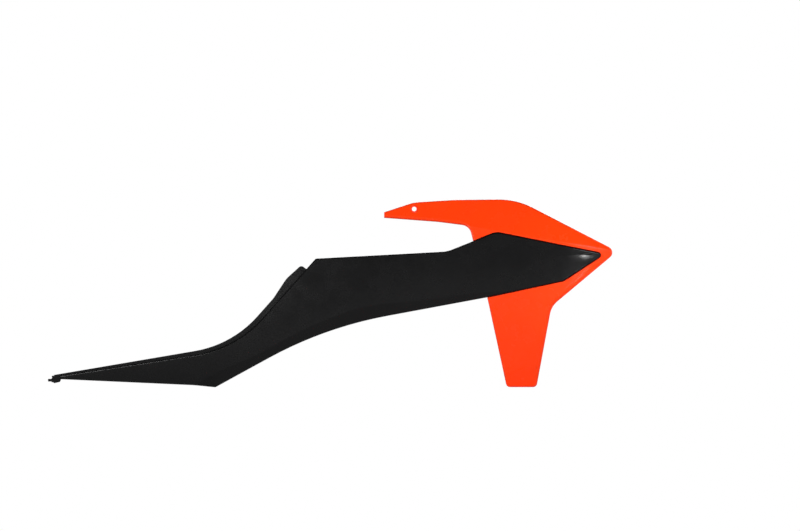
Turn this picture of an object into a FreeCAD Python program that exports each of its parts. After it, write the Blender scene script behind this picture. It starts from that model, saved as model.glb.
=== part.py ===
# Right-hand dirt bike radiator shroud: a moulded front panel with a hook-back arm and a leg, and a long side
# panel whose arrowhead nose lies in a recess of the front panel. Screws from behind hold the two together.
# Frame: +X forward, +Z up, outboard is -Y. Origin at the mouth of the tank screw hole in the arm. Millimetres.
import FreeCAD, Part
import math
import os

Vector = FreeCAD.Vector

# Walls and rounded edges
WALL = 2.5
FRONT_EDGE_ROUND = 4.0
SIDE_EDGE_ROUND = 2.2
CREASE_ROUND = 5.0

# Plan shape of the skin: how far it stands outboard along the length
WAIST_X = -250.0
FLARE_END_X = 270.0
FLARE_OUT = 108.0
TAIL_END_X = -503.0
TAIL_OUT = 14.0
NOSE_WRAP_X = 205.0
NOSE_WRAP_IN = 15.0

# Section shape of the skin: an upright crown about a middle line that drops towards the tail
CROWN_RADIUS = 480.0
MIDDLE_NOSE_Z = -70.0
MIDDLE_WAIST_Z = -165.0
MIDDLE_FORWARD_X = 60.0

# Facets that lean inboard from the skin: above the front panel's crease, at its toe, along the side panel's foot
UPPER_LEAN_DEG = 27.0
TOE_LEAN_DEG = 24.0
TOE_CREASE_X = 131.4
TOE_CREASE_Z = -230.8
TOE_CREASE_SLOPE = 0.204
BAND_LEAN_DEG = 24.0
BAND_CREASE = [(-330.0, -258.0), (-297.0, -241.4), (-266.5, -225.9), (-214.1, -202.5), (-163.1, -174.2),
               (-119.2, -154.9), (-75.3, -139.8), (-17.3, -132.5), (26.6, -127.3), (83.3, -119.5),
               (150.0, -117.0), (215.0, -114.5)]

# Depth of the turned-in edges
ARM_RIM_DEPTH = 9.0
FRONT_RIM_DEPTH = 24.0
RIM_DEEPENS_FROM_X = 100.0
RIM_DEEPENS_TO_X = 190.0
SIDE_RIM_DEPTH = 10.0

# Recess of the front panel that the side panel's nose lies in
SEAM_GAP = 0.8
RECESS_DEPTH = 5.5
SEAT_CLEARANCE = 0.3
REAR_EDGE_CLEARANCE = 1.0

# Joining screws: x and z, the bosses they turn into and the cups they sit under
SCREW_PLACES = [(222.0, -74.0), (130.0, -54.0), (118.0, -106.0), (178.0, -92.0)]
CUP_DEPTH = 12.5
CUP_FLOOR = 2.5
CUP_WALL = 2.0
BOSS_RADIUS = 4.5
BOSS_CLEARANCE = 0.5
PILOT_RADIUS = 2.05
PILOT_DEPTH = 8.5
SHANK_RADIUS = 2.0
SHANK_LENGTH = 10.0
SHANK_TIP = 1.2
SHANK_CLEARANCE = 0.3
HEAD_RADIUS = 4.0
HEAD_HEIGHT = 2.4
HEAD_CHAMFER = 1.1
DRIVE_SPAN = 3.4
DRIVE_WIDTH = 0.9
DRIVE_DEPTH = 1.3

# Tank screw hole in the arm
TANK_BORE_RADIUS = 3.25
TANK_BORE_LENGTH = 3.5
TANK_SEAT_RADIUS = 5.65
TANK_SEAT_DEPTH = 3.5
TANK_BOSS_RADIUS = 8.0

# Radiator screw hole through the leg's front edge
RADIATOR_Z = -190.0
RADIATOR_INSET = 13.5
RADIATOR_BORE_RADIUS = 3.25
RADIATOR_PAD_RADIUS = 8.0
RADIATOR_PAD_HEIGHT = 1.5

# Lip and tab along the side panel's rear top edge, and the hook with its peg at the tail
LIP_SETBACK = 5.0
LIP_WALL = 2.5
HOOK_SETBACK = 2.0
HOOK_DEPTH = 9.0
PEG_RADIUS = 1.9
PEG_Z = -242.4
PEG_ROOT_X = -508.0
PEG_SHOULDER_X = -513.5
PEG_END_X = -518.5
PEG_SHOULDER_RADIUS = 3.0
PEG_CHAMFER = 0.6
NIB_FROM_X = -466.0

# Stiffening ribs across the back of the panels
RIB_WALL = 1.6
RIB_DEPTH = 7.5
SIDE_RIB_PLACES = [40.0, -35.0, -110.0, -180.0, -250.0, -335.0, -415.0]
ARM_RIB_PLACES = [28.0, 58.0]

# Outlines seen from the side: x, z and corner radius
ARM_TIP_X = -42.6
FRONT_OUTLINE = {
    "arm tip top": (ARM_TIP_X, -4.6, 0.0),
    "arm crown": (-0.7, 9.3, 60.0),
    "arm top": (57.1, 12.9, 300.0),
    "brow": (145.0, 13.8, 105.0),
    "nose": (287.6, -59.8, 9.0),
    "throat": (194.4, -137.8, 30.0),
    "toe front": (173.2, -252.2, 6.0),
    "toe rear": (131.0, -252.2, 6.0),
    "leg bend": (103.5, -125.5, 100.0),
    "armpit": (78.1, -24.0, 15.0),
    "arm underside": (34.4, -18.4, 200.0),
    "arm tip bottom": (ARM_TIP_X, -12.6, 0.0),
}
SIDE_OUTLINE = {
    "nose": (270.6, -63.4, 4.0),
    "chin": (212.1, -101.8, 12.0),
    "leg joint": (102.0, -125.4, 80.0),
    "belly": (-127.2, -168.0, 560.0),
    "heel": (-281.5, -252.5, 4.0),
    "heel rear": (-310.0, -249.6, 150.0),
    "tail low": (TAIL_END_X, -240.9, 0.0),
    "tail top": (TAIL_END_X, -236.0, 0.0),
    "rear bend": (-252.9, -197.4, 160.0),
    "rear top": (-139.5, -70.2, 4.0),
    "shoulder": (46.9, -60.1, 45.0),
    "peak": (115.9, -32.5, 25.0),
}
LIP_OUTLINE = [
    (-511.0, -235.1, 0.0),
    (-257.7, -192.0, 152.0),
    (-199.5, -126.5, 20.0),
    (-181.0, -98.5, 35.0),
    (-160.0, -79.5, 5.0),
    (-150.0, -87.0, 0.0),
    (-205.0, -160.0, 0.0),
    (-265.0, -210.0, 0.0),
    (-495.0, -240.0, 0.0),
    (-503.0, -241.0, 0.0),
]
HOOK_OUTLINE = [
    (-513.5, -236.0, 0.8),
    (-510.5, -246.9, 1.5),
    (-501.5, -244.8, 1.0),
    (-499.0, -238.5, 0.0),
    (-499.0, -236.6, 0.0),
]

# Longer than anything that it cuts or reaches through
REACH = 400.0


def smooth(a, b, x):
    s = min(1.0, max(0.0, (x - a) / (b - a)))
    return s * s * (3.0 - 2.0 * s)


def line_z(a, b, x):
    return a[1] + (b[1] - a[1]) * (x - a[0]) / (b[0] - a[0])


def plan_out(x):
    if x >= WAIST_X:
        s = (x - WAIST_X) / (FLARE_END_X - WAIST_X)
        out = FLARE_OUT * (1.5 * s * s - 0.5 * s ** 3)
    else:
        out = TAIL_OUT * ((WAIST_X - x) / (WAIST_X - TAIL_END_X)) ** 2
    wrap = max(0.0, (x - NOSE_WRAP_X) / (FLARE_END_X - NOSE_WRAP_X))
    return out - NOSE_WRAP_IN * wrap * wrap


def middle_z(x):
    return MIDDLE_WAIST_Z + (MIDDLE_NOSE_Z - MIDDLE_WAIST_Z) * smooth(WAIST_X, MIDDLE_FORWARD_X, x)


def crown_out(x, z):
    return plan_out(x) - (z - middle_z(x)) ** 2 / (2.0 * CROWN_RADIUS)


def upper_crease_z(x):
    joint = FRONT_OUTLINE["armpit"]
    if x < joint[0]:
        return line_z(FRONT_OUTLINE["arm tip bottom"], joint, x)
    return line_z(joint, FRONT_OUTLINE["nose"], x)


def toe_crease_z(x):
    return TOE_CREASE_Z + TOE_CREASE_SLOPE * (x - TOE_CREASE_X)


def band_crease_z(x):
    for low, high in zip(BAND_CREASE, BAND_CREASE[1:]):
        if x <= high[0]:
            return line_z(low, high, x)
    return line_z(BAND_CREASE[-2], BAND_CREASE[-1], x)


def fall(degrees):
    return math.tan(math.radians(degrees))


def upper_out(x, z):
    line = upper_crease_z(x)
    return crown_out(x, line) - fall(UPPER_LEAN_DEG) * (z - line)


def toe_out(x, z):
    line = toe_crease_z(x)
    return crown_out(x, line) - fall(TOE_LEAN_DEG) * (line - z)


def band_out(x, z):
    line = band_crease_z(x)
    return crown_out(x, line) - fall(BAND_LEAN_DEG) * (line - z)


DATUM_OUT = upper_out(0.0, 0.0) - TANK_SEAT_DEPTH


def skin_y(x, z):
    return DATUM_OUT - crown_out(x, z)


def even(depth):
    return lambda x: depth


def front_rim(x):
    return ARM_RIM_DEPTH + (FRONT_RIM_DEPTH - ARM_RIM_DEPTH) * smooth(RIM_DEEPENS_FROM_X, RIM_DEEPENS_TO_X, x)


def steps(low, high, count):
    return [low + (high - low) * i / (count - 1) for i in range(count)]


# Each skin: its shape, where it is sampled along x and z, and how far it leans
CROWN = (crown_out, [-540, -470, -400, -330, -260, -200, -140, -80, -20, 40, 100, 150, 200, 235, 265, 300],
         steps(-275.0, 40.0, 8), 0.0)
UPPER = (upper_out, steps(-70.0, 300.0, 12), steps(-275.0, 40.0, 6), UPPER_LEAN_DEG)
TOE = (toe_out, steps(-70.0, 300.0, 12), steps(-275.0, 40.0, 6), TOE_LEAN_DEG)
BAND = (band_out, [-540, -470, -400] + [x for x, _ in BAND_CREASE] + [300], steps(-275.0, 40.0, 6), BAND_LEAN_DEG)


def behind(solid, skins, depth_at):
    for outward, xs, zs, lean in skins:
        thicker = 1.0 / math.cos(math.radians(lean))
        grid = [[Vector(x, DATUM_OUT - outward(x, z) + depth_at(x) * thicker, z) for z in zs] for x in xs]
        surface = Part.BSplineSurface()
        surface.interpolate(grid)
        solid = solid.common(surface.toShape().extrude(Vector(0, REACH, 0)))
    return solid


def sense(corners):
    area = 0.0
    for (x0, z0, _), (x1, z1, _) in zip(corners, corners[1:] + corners[:1]):
        area += x0 * z1 - x1 * z0
    return 1.0 if area > 0 else -1.0


def inset(corners, distance):
    turn = sense(corners)
    count = len(corners)
    lines = []
    for i in range(count):
        x0, z0, _ = corners[i]
        x1, z1, _ = corners[(i + 1) % count]
        length = math.hypot(x1 - x0, z1 - z0)
        ux, uz = (x1 - x0) / length, (z1 - z0) / length
        lines.append((x0 - uz * turn * distance, z0 + ux * turn * distance, ux, uz))
    moved = []
    for i in range(count):
        ax, az, aux, auz = lines[i - 1]
        bx, bz, bux, buz = lines[i]
        cross = aux * buz - auz * bux
        t = ((bx - ax) * buz - (bz - az) * bux) / cross
        convex = cross * turn > 0
        radius = corners[i][2] - distance if convex else corners[i][2] + distance
        moved.append((ax + aux * t, az + auz * t, max(radius, 0.0)))
    return moved


def outline_wire(corners, y):
    count = len(corners)
    ends = []
    arcs = []
    for i in range(count):
        px, pz, _ = corners[i - 1]
        cx, cz, radius = corners[i]
        nx, nz, _ = corners[(i + 1) % count]
        before = Vector(cx - px, 0, cz - pz)
        after = Vector(nx - cx, 0, nz - cz)
        before.normalize()
        after.normalize()
        corner = Vector(cx, y, cz)
        half = before.getAngle(after) / 2.0
        if radius == 0.0:
            ends.append((corner, corner))
            arcs.append(None)
            continue
        tangent = radius * math.tan(half)
        start = corner - before * tangent
        end = corner + after * tangent
        bisector = after - before
        bisector.normalize()
        middle = corner + bisector * (radius / math.cos(half) - radius)
        ends.append((start, end))
        arcs.append(Part.Arc(start, middle, end).toShape())
    edges = []
    for i in range(count):
        if arcs[i]:
            edges.append(arcs[i])
        edges.append(Part.LineSegment(ends[i][1], ends[(i + 1) % count][0]).toShape())
    return Part.Wire(edges)


def prism(corners):
    face = Part.Face(outline_wire(corners, -REACH / 2))
    return face.extrude(Vector(0, REACH, 0))


def slab(solid, skins, outer, inner):
    return behind(solid, skins, even(outer)).cut(behind(solid, skins, even(inner)))


def post(x, z, radius, y_from, y_to):
    return Part.makeCylinder(radius, y_to - y_from, Vector(x, y_from, z), Vector(0, 1, 0))


def skin_edges(solid, beside_wall):
    found = []
    for edge in solid.Edges:
        if edge.BoundBox.YMax > REACH / 2 - 1:
            continue
        middle = edge.valueAt((edge.FirstParameter + edge.LastParameter) / 2)
        walls = []
        for face in solid.ancestorsOfType(edge, Part.Face):
            u, v = face.Surface.parameter(middle)
            walls.append(abs(face.normalAt(u, v).y) < 0.02)
        if sorted(walls) == [False, beside_wall]:
            found.append(edge)
    return found


def rounded_body(corners, skins, edge_round):
    body = behind(prism(corners), skins, even(0.0))
    body = body.makeFillet(CREASE_ROUND, skin_edges(body, False))
    return body.makeFillet(edge_round, skin_edges(body, True))


def ribs(places, corners, skins):
    plates = []
    inside = prism(inset(corners, WALL / 2))
    for x in places:
        strip = Part.makeBox(RIB_WALL, 2 * REACH, 2 * REACH, Vector(x - RIB_WALL / 2, -REACH, -REACH))
        plates.append(slab(inside.common(strip), skins, WALL / 2, RIB_DEPTH))
    return plates


def seat_y(x, z):
    return skin_y(x, z) + CUP_DEPTH


def leg_edge():
    throat = FRONT_OUTLINE["throat"]
    toe = FRONT_OUTLINE["toe front"]
    length = math.hypot(toe[0] - throat[0], toe[1] - throat[1])
    outward = Vector((throat[1] - toe[1]) / length, 0, (toe[0] - throat[0]) / length)
    x = throat[0] + (toe[0] - throat[0]) * (RADIATOR_Z - throat[1]) / (toe[1] - throat[1])
    return Vector(x, skin_y(x, RADIATOR_Z) + RADIATOR_INSET, RADIATOR_Z), outward


def front_panel():
    front = list(FRONT_OUTLINE.values())
    side = list(SIDE_OUTLINE.values())
    skins = [CROWN, UPPER, TOE]
    panel = rounded_body(front, skins, FRONT_EDGE_ROUND)
    panel = panel.cut(behind(prism(inset(front, -WALL)), skins, front_rim))
    over_floor = prism(inset(side, -SEAM_GAP - WALL))
    over_floor = over_floor.cut(behind(over_floor, [CROWN], even(RECESS_DEPTH + WALL)))
    panel = panel.cut(behind(prism(inset(front, WALL)), skins, even(WALL)).cut(over_floor))
    recess = prism(inset(side, -SEAM_GAP))
    panel = panel.cut(recess.cut(behind(recess, [CROWN], even(RECESS_DEPTH))))
    added = ribs(ARM_RIB_PLACES, front, skins)
    cup_room = BOSS_RADIUS + BOSS_CLEARANCE
    for x, z in SCREW_PLACES:
        cup = post(x, z, cup_room + CUP_WALL, seat_y(x, z) - CUP_DEPTH, seat_y(x, z) + CUP_FLOOR)
        added.append(behind(cup, [CROWN], even(RECESS_DEPTH + WALL / 2)))
    tank_boss = post(0, 0, TANK_BOSS_RADIUS, -REACH / 4, TANK_BORE_LENGTH)
    added.append(behind(tank_boss.common(prism(inset(front, WALL / 2))), skins, even(WALL / 2)))
    mouth, outward = leg_edge()
    pad_height = WALL / 2 + RADIATOR_PAD_HEIGHT
    added.append(Part.makeCylinder(RADIATOR_PAD_RADIUS, pad_height, mouth - outward * WALL / 2, -outward))
    panel = panel.fuse(added)
    cuts = []
    for x, z in SCREW_PLACES:
        cuts.append(post(x, z, cup_room, seat_y(x, z) - CUP_DEPTH, seat_y(x, z)))
        cuts.append(post(x, z, SHANK_RADIUS + SHANK_CLEARANCE, seat_y(x, z), seat_y(x, z) + 2 * CUP_FLOOR))
    cuts.append(post(0, 0, TANK_SEAT_RADIUS, -REACH / 4, 0))
    cuts.append(post(0, 0, TANK_BORE_RADIUS, -REACH / 4, 2 * TANK_BORE_LENGTH))
    cuts.append(Part.makeCylinder(RADIATOR_BORE_RADIUS, 4 * WALL + RADIATOR_PAD_HEIGHT, mouth + outward * WALL,
                                  -outward))
    return panel.cut(cuts).removeSplitter()


def side_hollow():
    outline = dict(SIDE_OUTLINE)
    low = line_z(outline["heel rear"], outline["tail low"], NIB_FROM_X)
    top = line_z(outline["rear bend"], outline["tail top"], NIB_FROM_X)
    outline["tail low"] = (NIB_FROM_X, low, 0.0)
    outline["tail top"] = (NIB_FROM_X, top, 0.0)
    return inset(list(outline.values()), WALL)


def tail_peg():
    root = Vector(PEG_ROOT_X, skin_y(PEG_ROOT_X, PEG_Z) + HOOK_SETBACK + HOOK_DEPTH / 2, PEG_Z)
    back = Vector(-1, 0, 0)
    peg = Part.makeCylinder(PEG_RADIUS, PEG_ROOT_X - PEG_END_X, root, back)
    tip = [edge for edge in peg.Edges if edge.BoundBox.XMax < PEG_SHOULDER_X]
    peg = peg.makeChamfer(PEG_CHAMFER, tip)
    return peg.fuse(Part.makeCylinder(PEG_SHOULDER_RADIUS, PEG_ROOT_X - PEG_SHOULDER_X, root, back))


def side_panel():
    side = list(SIDE_OUTLINE.values())
    front = list(FRONT_OUTLINE.values())
    skins = [CROWN, BAND]
    panel = rounded_body(side, skins, SIDE_EDGE_ROUND)
    panel = panel.cut(behind(prism(inset(side, -WALL)), skins, even(SIDE_RIM_DEPTH)))
    hollow = prism(side_hollow())
    panel = panel.cut(behind(hollow, skins, even(WALL)))
    lip = slab(prism(LIP_OUTLINE).cut(hollow), [CROWN], LIP_SETBACK, LIP_SETBACK + LIP_WALL)
    hook = slab(prism(HOOK_OUTLINE), [CROWN], HOOK_SETBACK, HOOK_SETBACK + HOOK_DEPTH)
    panel = panel.fuse(ribs(SIDE_RIB_PLACES, side, skins) + [lip, hook, tail_peg()])
    overlap = prism(inset(front, -REAR_EDGE_CLEARANCE))
    panel = panel.cut(behind(overlap, [CROWN], even(RECESS_DEPTH - SEAT_CLEARANCE)))
    bosses = []
    pilots = []
    for x, z in SCREW_PLACES:
        boss = post(x, z, BOSS_RADIUS, seat_y(x, z) - CUP_DEPTH, seat_y(x, z))
        bosses.append(behind(boss, [CROWN], even(WALL / 2)))
        pilots.append(post(x, z, PILOT_RADIUS, seat_y(x, z) - PILOT_DEPTH, seat_y(x, z) + 1))
    return panel.fuse(bosses).cut(pilots).removeSplitter()


def joining_screw(x, z):
    under_head = seat_y(x, z) + CUP_FLOOR
    top = under_head + HEAD_HEIGHT
    head = post(x, z, HEAD_RADIUS, under_head, top)
    crown = [edge for edge in head.Edges if edge.BoundBox.YMin > top - HEAD_HEIGHT / 4]
    head = head.makeChamfer(HEAD_CHAMFER, crown)
    for wide, high in ((DRIVE_SPAN, DRIVE_WIDTH), (DRIVE_WIDTH, DRIVE_SPAN)):
        corner = Vector(x - wide / 2, top - DRIVE_DEPTH, z - high / 2)
        head = head.cut(Part.makeBox(wide, DRIVE_DEPTH + 1, high, corner))
    shank = post(x, z, SHANK_RADIUS, under_head - SHANK_LENGTH, under_head)
    end = [edge for edge in shank.Edges if edge.BoundBox.YMax < under_head - SHANK_LENGTH / 2]
    shank = shank.makeChamfer(SHANK_TIP, end)
    return head.fuse(shank)


def main():
    os.makedirs("parts", exist_ok=True)
    front_panel().exportStep("parts/front_panel.step")
    side_panel().exportStep("parts/side_panel.step")
    screws = Part.makeCompound([joining_screw(x, z) for x, z in SCREW_PLACES])
    screws.exportStep("parts/joining_screws.step")


main()
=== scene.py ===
import math
import bmesh
import bpy
from mathutils import Matrix, Vector


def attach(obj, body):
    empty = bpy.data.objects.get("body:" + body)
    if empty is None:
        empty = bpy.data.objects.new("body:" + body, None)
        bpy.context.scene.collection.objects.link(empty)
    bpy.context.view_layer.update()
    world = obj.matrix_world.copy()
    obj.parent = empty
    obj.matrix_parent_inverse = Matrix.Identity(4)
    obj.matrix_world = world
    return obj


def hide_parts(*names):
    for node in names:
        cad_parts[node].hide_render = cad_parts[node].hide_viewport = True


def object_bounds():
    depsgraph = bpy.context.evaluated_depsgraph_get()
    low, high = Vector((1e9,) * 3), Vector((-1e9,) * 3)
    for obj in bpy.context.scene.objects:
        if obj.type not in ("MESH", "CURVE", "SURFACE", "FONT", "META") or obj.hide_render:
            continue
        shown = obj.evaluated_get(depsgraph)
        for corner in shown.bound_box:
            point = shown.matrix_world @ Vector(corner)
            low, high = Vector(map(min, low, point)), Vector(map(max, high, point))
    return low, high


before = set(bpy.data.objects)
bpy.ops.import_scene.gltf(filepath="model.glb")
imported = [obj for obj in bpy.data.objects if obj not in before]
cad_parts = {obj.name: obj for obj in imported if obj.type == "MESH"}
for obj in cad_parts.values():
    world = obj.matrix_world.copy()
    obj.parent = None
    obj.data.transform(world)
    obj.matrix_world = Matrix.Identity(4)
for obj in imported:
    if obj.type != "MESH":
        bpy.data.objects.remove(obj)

scene = bpy.context.scene
cadBounds = [list(corner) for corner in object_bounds()]


# small helpers that the materials share
cloudDetail = 3.0
fineDetail = 4.0
fineRoughness = 0.6
mixSockets = {"factor": 0, "first": 6, "second": 7, "result": 2}  # the Mix node's own places for colours


def newMaterial(name):
    material = bpy.data.materials.new(name)
    material.use_nodes = True
    tree = material.node_tree
    place = tree.nodes.new("ShaderNodeTexCoord")
    return material, tree, tree.nodes["Principled BSDF"], place


def noiseFrom(tree, place, scale, detail=2.0, roughness=0.5):
    noise = tree.nodes.new("ShaderNodeTexNoise")
    noise.inputs["Scale"].default_value = scale
    noise.inputs["Detail"].default_value = detail
    noise.inputs["Roughness"].default_value = roughness
    tree.links.new(place.outputs["Object"], noise.inputs["Vector"])
    return noise.outputs["Fac"]


def spread(tree, source, low, high, lowIn=0.3, highIn=0.7):
    ramp = tree.nodes.new("ShaderNodeMapRange")
    ramp.inputs["From Min"].default_value = lowIn
    ramp.inputs["From Max"].default_value = highIn
    ramp.inputs["To Min"].default_value = low
    ramp.inputs["To Max"].default_value = high
    tree.links.new(source, ramp.inputs["Value"])
    return ramp.outputs["Result"]


def blendColours(tree, factor, first, second):
    mix = tree.nodes.new("ShaderNodeMix")
    mix.data_type = "RGBA"
    mix.inputs[mixSockets["first"]].default_value = first
    mix.inputs[mixSockets["second"]].default_value = second
    tree.links.new(factor, mix.inputs[mixSockets["factor"]])
    return mix.outputs[mixSockets["result"]]


def bumpFrom(tree, height, strength, distance, after=None):
    bump = tree.nodes.new("ShaderNodeBump")
    bump.inputs["Strength"].default_value = strength
    bump.inputs["Distance"].default_value = distance
    tree.links.new(height, bump.inputs["Height"])
    if after is not None:
        tree.links.new(after, bump.inputs["Normal"])
    return bump.outputs["Normal"]


# clouds one colour into a slightly deeper one
def cloudColour(tree, place, shader, look, scale):
    cloud = noiseFrom(tree, place, scale, cloudDetail)
    colour = blendColours(tree, spread(tree, cloud, 0.0, 1.0), look["colour"], look["deeper"])
    tree.links.new(colour, shader.inputs["Base Color"])
    return cloud


# moulded polypropylene: glossy outside, a fine spark-eroded grain inside
orangePlastic = {"colour": (0.97, 0.0465, 0.0028, 1.0), "deeper": (0.93, 0.0430, 0.0024, 1.0),
                 "roughLow": 0.22, "roughHigh": 0.30, "ripple": 0.06, "scuff": 0.10, "specular": 0.20}
blackPlastic = {"colour": (0.0036, 0.0036, 0.0038, 1.0), "deeper": (0.0029, 0.0029, 0.0031, 1.0),
                "roughLow": 0.22, "roughHigh": 0.30, "ripple": 0.06, "scuff": 0.12, "specular": 0.25}
plasticIor = 1.49
outsideGloss = {"cloudScale": 9.0, "smearScale": 34.0, "rippleScale": 120.0, "rippleDepth": 0.00012,
                "scuffScale": 1500.0, "scuffDepth": 0.00003}
insideGrain = {"cloudScale": 14.0, "scale": 900.0, "strength": 0.35, "depth": 0.0001,
               "roughLow": 0.55, "roughHigh": 0.7}


def glossMoulding(name, look):
    material, tree, shader, place = newMaterial(name)
    cloudColour(tree, place, shader, look, outsideGloss["cloudScale"])
    smear = noiseFrom(tree, place, outsideGloss["smearScale"], fineDetail, fineRoughness)
    tree.links.new(spread(tree, smear, look["roughLow"], look["roughHigh"]), shader.inputs["Roughness"])
    wave = noiseFrom(tree, place, outsideGloss["rippleScale"])
    ripple = bumpFrom(tree, wave, look["ripple"], outsideGloss["rippleDepth"])
    speck = noiseFrom(tree, place, outsideGloss["scuffScale"])
    scuff = bumpFrom(tree, speck, look["scuff"], outsideGloss["scuffDepth"], ripple)
    tree.links.new(scuff, shader.inputs["Normal"])
    shader.inputs["IOR"].default_value = plasticIor
    shader.inputs["Specular IOR Level"].default_value = look["specular"]
    return material


def grainedMoulding(name, look):
    material, tree, shader, place = newMaterial(name)
    cloudColour(tree, place, shader, look, insideGrain["cloudScale"])
    grain = noiseFrom(tree, place, insideGrain["scale"], fineDetail, fineRoughness)
    roughness = spread(tree, grain, insideGrain["roughLow"], insideGrain["roughHigh"])
    tree.links.new(roughness, shader.inputs["Roughness"])
    pitted = bumpFrom(tree, grain, insideGrain["strength"], insideGrain["depth"])
    tree.links.new(pitted, shader.inputs["Normal"])
    shader.inputs["IOR"].default_value = plasticIor
    return material


orangeOutside = glossMoulding("orangeOutside", orangePlastic)
orangeInside = grainedMoulding("orangeInside", orangePlastic)
blackOutside = glossMoulding("blackOutside", blackPlastic)
blackInside = grainedMoulding("blackInside", blackPlastic)

# bright zinc on the screws, a little cloudy
zincLook = {"colour": (0.62, 0.62, 0.60, 1.0), "deeper": (0.45, 0.46, 0.47, 1.0), "cloudScale": 400.0,
            "roughLow": 0.24, "roughHigh": 0.42,
            "scratch": 0.2, "scratchScale": 2600.0, "scratchDepth": 0.00003}


def zincPlate(name):
    material, tree, shader, place = newMaterial(name)
    cloud = cloudColour(tree, place, shader, zincLook, zincLook["cloudScale"])
    shader.inputs["Metallic"].default_value = 1.0
    roughness = spread(tree, cloud, zincLook["roughLow"], zincLook["roughHigh"])
    tree.links.new(roughness, shader.inputs["Roughness"])
    lines = noiseFrom(tree, place, zincLook["scratchScale"])
    scratch = bumpFrom(tree, lines, zincLook["scratch"], zincLook["scratchDepth"])
    tree.links.new(scratch, shader.inputs["Normal"])
    return material


zincScrew = zincPlate("zincScrew")
print("materials made")

# the two mouldings: the CAD meshes merged, with even shading over the large faces
cutSnap = 1e-7
shellFinish = {"weld": 0.000004, "sharpAngle": 28.0, "insideTilt": 0.25, "skinTilt": 0.3}


def linkPiece(name, mesh):
    piece = bpy.data.objects.new(name, mesh)
    scene.collection.objects.link(piece)
    return piece


def isSkin(face):
    return face.normal.y < -shellFinish["skinTilt"]


# cuts faces along parallel planes and gives back the smaller faces
def cutFaces(bm, faces, axis, offsets):
    for offset in offsets:
        parts = faces + list({edge for face in faces for edge in face.edges})
        parts += list({vert for face in faces for vert in face.verts})
        made = bmesh.ops.bisect_plane(bm, geom=parts, dist=cutSnap, plane_co=axis * offset, plane_no=axis)
        faces = [item for item in made["geom"] if isinstance(item, bmesh.types.BMFace)]
    return faces


def sinkSkin(bm, depthAt):
    bm.normal_update()
    for vert in bm.verts:
        if any(isSkin(face) for face in vert.link_faces):
            vert.co.y += depthAt(vert.co.x, vert.co.z)


def ease(low, high, value):
    share = min(1.0, max(0.0, (value - low) / (high - low)))
    return share * share * (3.0 - 2.0 * share)


def evenSteps(low, high, count):
    return [low + (high - low) * step / count for step in range(count + 1)]


# a shallow facet under the ridge of the black nose
noseScoop = {"fromX": 0.200, "fullX": 0.238, "toX": 0.268, "columns": 20, "ridgeZ": -0.0645, "fall": 0.011,
             "rows": 8, "depth": 0.0011}


def scoopDepth(x, z):
    down = min(1.0, max(0.0, (noseScoop["ridgeZ"] - z) / noseScoop["fall"]))
    return noseScoop["depth"] * (1.0 - (1.0 - down) ** 2) * ease(noseScoop["fromX"], noseScoop["fullX"], x)


def scoopNose(bm):
    low = noseScoop["ridgeZ"] - noseScoop["fall"]
    faces = [face for face in bm.faces if isSkin(face)
             and max(vert.co.x for vert in face.verts) > noseScoop["fromX"]]
    heights = evenSteps(low, noseScoop["ridgeZ"], noseScoop["rows"])
    faces = cutFaces(bm, faces, Vector((0, 0, 1)), heights)
    columns = evenSteps(noseScoop["fromX"], noseScoop["toX"], noseScoop["columns"])
    cutFaces(bm, faces, Vector((1, 0, 0)), columns)
    sinkSkin(bm, scoopDepth)


# the front edge is rolled back a little, from the nose down the throat to the toe
frontRoll = {"nose": (0.2876, -0.0598), "throat": (0.1944, -0.1378), "toe": (0.1732, -0.2522),
             "radius": 0.030, "width": 0.0072, "tilt": 11.0, "cuts": 5, "columns": 24,
             "endsAtX": 0.276, "endsOverX": 0.016, "endsAtZ": -0.236, "endsOverZ": 0.020}


def frontLines():
    throat = Vector(frontRoll["throat"])
    lines = []
    for end, side in ((frontRoll["nose"], 1.0), (frontRoll["toe"], -1.0)):
        along = (Vector(end) - throat).normalized()
        lines.append((along, Vector((-along.y, along.x)) * side))
    return throat, lines


def edgeDistance(x, z):
    throat, lines = frontLines()
    away = Vector((x, z)) - throat
    (alongNose, inNose), (alongToe, inToe) = lines
    turn = (math.pi - alongNose.angle(alongToe)) / 2
    tangent = frontRoll["radius"] * math.tan(turn)
    if away.dot(alongNose) > tangent:
        return away.dot(inNose)
    if away.dot(alongToe) > tangent:
        return away.dot(inToe)
    centre = (alongNose + alongToe).normalized() * frontRoll["radius"] / math.cos(turn)
    return (away - centre).length - frontRoll["radius"]


def rollDepth(x, z):
    inside = max(0.0, frontRoll["width"] - edgeDistance(x, z))
    ends = ease(frontRoll["endsAtX"], frontRoll["endsAtX"] - frontRoll["endsOverX"], x)
    ends *= ease(frontRoll["endsAtZ"], frontRoll["endsAtZ"] + frontRoll["endsOverZ"], z)
    return inside * math.tan(math.radians(frontRoll["tilt"])) * ends


def rollFront(bm):
    throat, lines = frontLines()
    faces = [face for face in bm.faces if isSkin(face)
             and min(edgeDistance(vert.co.x, vert.co.z) for vert in face.verts) < 2 * frontRoll["width"]]
    for along, inward in lines:
        start = throat.dot(inward)
        offsets = evenSteps(start, start + frontRoll["width"], frontRoll["cuts"])
        faces = cutFaces(bm, faces, Vector((inward.x, 0, inward.y)), offsets)
    low, high = frontRoll["toe"][1], frontRoll["nose"][1]
    cutFaces(bm, faces, Vector((0, 0, 1)), evenSteps(low, high, frontRoll["columns"]))
    sinkSkin(bm, rollDepth)


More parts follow.
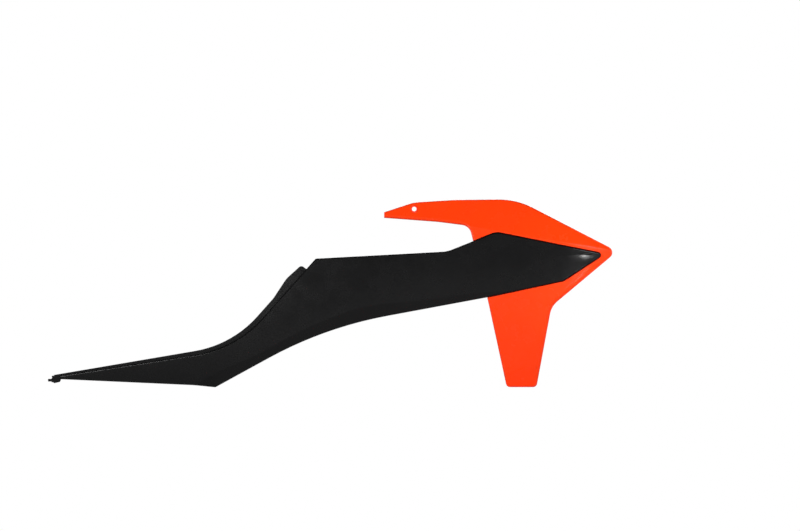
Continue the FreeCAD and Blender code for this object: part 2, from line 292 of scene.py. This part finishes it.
def mouldedShell(name, node, outside, inside, shape):
    shell = linkPiece(name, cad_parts[node].data.copy())
    bm = bmesh.new()
    bm.from_mesh(shell.data)
    bmesh.ops.remove_doubles(bm, verts=bm.verts, dist=shellFinish["weld"])
    bmesh.ops.dissolve_degenerate(bm, edges=bm.edges, dist=shellFinish["weld"])
    shape(bm)
    bmesh.ops.triangulate(bm, faces=[face for face in bm.faces if len(face.verts) > 3])
    limit = math.radians(shellFinish["sharpAngle"])
    for edge in bm.edges:
        edge.smooth = len(edge.link_faces) == 2 and edge.calc_face_angle(0.0) < limit
    for face in bm.faces:
        face.smooth = True
        face.material_index = 1 if face.normal.y > shellFinish["insideTilt"] else 0
    bm.to_mesh(shell.data)
    bm.free()
    shell.data.materials.clear()
    shell.data.materials.append(outside)
    shell.data.materials.append(inside)
    evenNormals = shell.modifiers.new("evenNormals", "WEIGHTED_NORMAL")
    evenNormals.keep_sharp = True
    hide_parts(node)
    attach(shell, "root")


mouldedShell("frontShell", "front_panel", orangeOutside, orangeInside, rollFront)
mouldedShell("sideShell", "side_panel", blackOutside, blackInside, scoopNose)
print("mouldings made")

# thread-forming screws with a pan head and a cross drive, seen from behind
screwSize = {"places": [(0.222, -0.074), (0.130, -0.054), (0.118, -0.106), (0.178, -0.092)],
             "turns": [12.0, 47.0, 71.0, 28.0], "reach": 0.006, "sides": 40, "sharpAngle": 35.0,
             "headRadius": 0.0040, "headHeight": 0.0024, "headRound": 0.0011, "roundSegments": 5,
             "coreRadius": 0.00150, "crestRadius": 0.00198, "shankLength": 0.0100,
             "tipLength": 0.0012, "tipScale": 0.55,
             "pitch": 0.0016, "turnsOfThread": 5.0, "threadHalf": 0.00045,
             "driveSpan": 0.0034, "driveWidth": 0.0009, "driveDepth": 0.0013, "driveTaper": 0.72}
flatLimit = 0.999  # how squarely a face must look along a direction
seatLimit = 1e-6  # faces under this height lie in the plane of the head's seat


def headTop(place):
    x, z = place
    reach = screwSize["reach"]
    return max(v.co.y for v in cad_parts["joining_screws"].data.vertices
               if math.hypot(v.co.x - x, v.co.z - z) < reach)


def facesFacing(bm, direction):
    return [face for face in bm.faces if face.normal.dot(direction) > flatLimit]


def extrudeAlong(bm, faces, direction, length, scale):
    made = bmesh.ops.extrude_face_region(bm, geom=faces)["geom"]
    verts = [item for item in made if isinstance(item, bmesh.types.BMVert)]
    caps = [item for item in made if isinstance(item, bmesh.types.BMFace)]
    bmesh.ops.translate(bm, verts=verts, vec=direction * length)
    bmesh.ops.scale(bm, verts=verts, vec=(scale, 1.0, scale))
    bmesh.ops.delete(bm, geom=[face for face in faces if face.is_valid], context="FACES")
    return caps


def screwBody():
    size = screwSize
    up, along, across = Vector((0, 1, 0)), Vector((1, 0, 0)), Vector((0, 0, 1))
    bm = bmesh.new()
    lift = Matrix.Translation((0, size["headHeight"] / 2, 0)) @ Matrix.Rotation(math.radians(-90.0), 4, "X")
    bmesh.ops.create_cone(bm, cap_ends=True, segments=size["sides"], radius1=size["headRadius"],
                          radius2=size["headRadius"], depth=size["headHeight"], matrix=lift)
    top = facesFacing(bm, up)
    bmesh.ops.bevel(bm, geom=list(top[0].edges), offset=size["headRound"], affect="EDGES",
                    segments=size["roundSegments"], profile=0.5, material=-1)
    half, span = size["driveWidth"] / 2, size["driveSpan"] / 2
    cells = facesFacing(bm, up)
    for axis in (along, across):
        cells = cutFaces(bm, cells, axis, (-span, -half, half, span))
    cross = []
    for face in cells:
        centre = face.calc_center_median()
        near, far = sorted((abs(centre.x), abs(centre.z)))
        if near < half and far < span:
            cross.append(face)
    extrudeAlong(bm, cross, -up, size["driveDepth"], size["driveTaper"])
    under = [face for face in facesFacing(bm, -up) if face.calc_center_median().y < seatLimit]
    bmesh.ops.inset_region(bm, faces=under, thickness=size["headRadius"] - size["coreRadius"])
    shank = size["shankLength"] - size["tipLength"]
    caps = extrudeAlong(bm, under, -up, shank, 1.0)
    extrudeAlong(bm, caps, -up, size["tipLength"], size["tipScale"])
    return bm


def addThread(bm):
    size = screwSize
    start = -size["shankLength"] + size["tipLength"] + size["threadHalf"]
    root, half = size["coreRadius"] - size["threadHalf"] / 2, size["threadHalf"]
    corners = [(root, start - half), (size["crestRadius"], start), (root, start + half)]
    verts = [bm.verts.new((x, y, 0.0)) for x, y in corners]
    edges = [bm.edges.new((verts[i], verts[(i + 1) % len(verts)])) for i in range(len(verts))]
    count = int(size["turnsOfThread"] * size["sides"])
    rise = size["pitch"] / size["sides"]
    angle = math.radians(360.0) * size["turnsOfThread"]
    made = bmesh.ops.spin(bm, geom=verts + edges, cent=(0, 0, 0), axis=(0, 1, 0), steps=count,
                          dvec=(0, rise, 0), angle=angle, use_merge=False, use_duplicate=False)
    last = [item for item in made["geom_last"] if isinstance(item, bmesh.types.BMEdge)]
    bmesh.ops.holes_fill(bm, edges=edges + last, sides=len(verts))


def buildScrews():
    size = screwSize
    mesh = bpy.data.meshes.new("joiningScrews")
    whole = bmesh.new()
    limit = math.radians(size["sharpAngle"])
    for place, turn in zip(size["places"], size["turns"]):
        bm = screwBody()
        addThread(bm)
        bmesh.ops.recalc_face_normals(bm, faces=bm.faces)
        turned = Matrix.Rotation(math.radians(turn), 3, "Y")
        bmesh.ops.rotate(bm, verts=bm.verts, cent=(0, 0, 0), matrix=turned)
        seat = headTop(place) - size["headHeight"]
        bmesh.ops.translate(bm, verts=bm.verts, vec=(place[0], seat, place[1]))
        bm.to_mesh(mesh)
        bm.free()
        whole.from_mesh(mesh)
    for edge in whole.edges:
        edge.smooth = len(edge.link_faces) == 2 and edge.calc_face_angle(0.0) < limit
    for face in whole.faces:
        face.smooth = True
    whole.to_mesh(mesh)
    whole.free()
    mesh.materials.append(zincScrew)
    screws = linkPiece("joiningScrews", mesh)
    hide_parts("joining_screws")
    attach(screws, "root")


buildScrews()
print("screws made")

# studio: a pale floor under the part, and softboxes clear of the skin's mirror directions
studio = {"floorGap": 0.0004, "floorHalf": 2.2, "floorColour": (0.80, 0.80, 0.80, 1.0),
          "floorDeeper": (0.77, 0.77, 0.77, 1.0), "floorCloud": 3.0, "floorRough": 0.85, "fadeFrom": 1.0,
          "fadeTo": 2.1, "lowSky": 0.30, "highSky": 0.04, "highSkyRise": 0.5, "cameraLift": 0.34,
          "white": (1.0, 1.0, 1.0, 1.0)}


def buildFloor():
    bm = bmesh.new()
    bmesh.ops.create_grid(bm, x_segments=1, y_segments=1, size=studio["floorHalf"])
    low = cadBounds[0][2] - studio["floorGap"]
    bmesh.ops.translate(bm, verts=bm.verts, vec=(0, 0, low))
    mesh = bpy.data.meshes.new("studioFloor")
    bm.to_mesh(mesh)
    bm.free()
    floor = linkPiece("studioFloor", mesh)
    material, tree, shader, place = newMaterial("paleFloor")
    cloud = noiseFrom(tree, place, studio["floorCloud"])
    colour = blendColours(tree, spread(tree, cloud, 0.0, 1.0), studio["floorColour"], studio["floorDeeper"])
    tree.links.new(colour, shader.inputs["Base Color"])
    shader.inputs["Roughness"].default_value = studio["floorRough"]
    reach = tree.nodes.new("ShaderNodeVectorMath")  # the floor fades into the white backdrop
    reach.operation = "LENGTH"
    tree.links.new(place.outputs["Object"], reach.inputs[0])
    fade = spread(tree, reach.outputs["Value"], 1.0, 0.0, studio["fadeFrom"], studio["fadeTo"])
    tree.links.new(fade, shader.inputs["Alpha"])
    # the floor looks pale without throwing more light on the part
    seen = tree.nodes.new("ShaderNodeLightPath")
    lift = spread(tree, seen.outputs["Is Camera Ray"], 0.0, studio["cameraLift"], 0.0, 1.0)
    tree.links.new(lift, shader.inputs["Emission Strength"])
    shader.inputs["Emission Color"].default_value = studio["white"]
    mesh.materials.append(material)


buildFloor()

# each softbox: bearing from straight ahead (right positive), height angle, distance, width, height, power
softboxes = {
    "keyBox": (9.0, 21.0, 2.6, 1.5, 0.5, 46.0),
    "rightBox": (60.0, 9.0, 2.6, 1.0, 0.8, 16.0),
    "leftBox": (-74.0, 9.0, 2.6, 1.0, 1.0, 34.0),
    "backBox": (165.0, 14.0, 2.6, 1.6, 1.0, 25.0),
}
boxAim = Vector((-0.1, 0.0, -0.12))
noseCard = {"aim": (0.243, -0.078, -0.069), "values": (-8.0, -19.0, 0.45, 0.06, 0.03, 0.028), "spread": 40.0}


def buildSoftbox(name, aim, bearing, lift, distance, width, height, power, spreadAngle=180.0):
    data = bpy.data.lights.new(name, "AREA")
    data.shape = "RECTANGLE"
    data.size = width
    data.size_y = height
    data.energy = power
    data.spread = math.radians(spreadAngle)
    lamp = bpy.data.objects.new(name, data)
    turn, rise = math.radians(bearing), math.radians(lift)
    away = Vector((math.sin(turn) * math.cos(rise), -math.cos(turn) * math.cos(rise), math.sin(rise)))
    lamp.location = Vector(aim) + away * distance
    lamp.rotation_mode = "QUATERNION"
    lamp.rotation_quaternion = (-away).to_track_quat("-Z", "Y")
    lamp.visible_camera = False
    scene.collection.objects.link(lamp)


for name, values in softboxes.items():
    buildSoftbox(name, boxAim, *values)
# a small card picks out the facet under the black nose's ridge
buildSoftbox("noseCard", noseCard["aim"], *noseCard["values"], noseCard["spread"])

# camera rays see a white backdrop, the part sees a dim one that darkens overhead
world = bpy.data.worlds.new("studioWorld")
scene.world = world
world.use_nodes = True
tree = world.node_tree
backdrop = tree.nodes["Background"]
backdrop.inputs["Color"].default_value = studio["white"]
skyPlace = tree.nodes.new("ShaderNodeTexCoord")
skyParts = tree.nodes.new("ShaderNodeSeparateXYZ")
tree.links.new(skyPlace.outputs["Generated"], skyParts.inputs["Vector"])
sky = spread(tree, skyParts.outputs["Z"], studio["lowSky"], studio["highSky"], 0.0, studio["highSkyRise"])
path = tree.nodes.new("ShaderNodeLightPath")
level = tree.nodes.new("ShaderNodeMapRange")
tree.links.new(path.outputs["Is Camera Ray"], level.inputs["Value"])
tree.links.new(sky, level.inputs["To Min"])
tree.links.new(level.outputs["Result"], backdrop.inputs["Strength"])
scene.view_settings.view_transform = "Standard"

# the photograph's frame is 800 x 531, seen square on from the right-hand side of the bike
photoView = {"across": 1.1328, "aimX": -0.0201, "aimZ": -0.0800, "distance": 3.0}
cameraData = bpy.data.cameras.new("photoCamera")
cameraData.type = "ORTHO"
cameraData.ortho_scale = photoView["across"]
camera = bpy.data.objects.new("photoCamera", cameraData)
camera.location = (photoView["aimX"], -photoView["distance"], photoView["aimZ"])
camera.rotation_euler = (math.radians(90.0), 0.0, 0.0)
scene.collection.objects.link(camera)
scene.camera = camera
print("studio made")
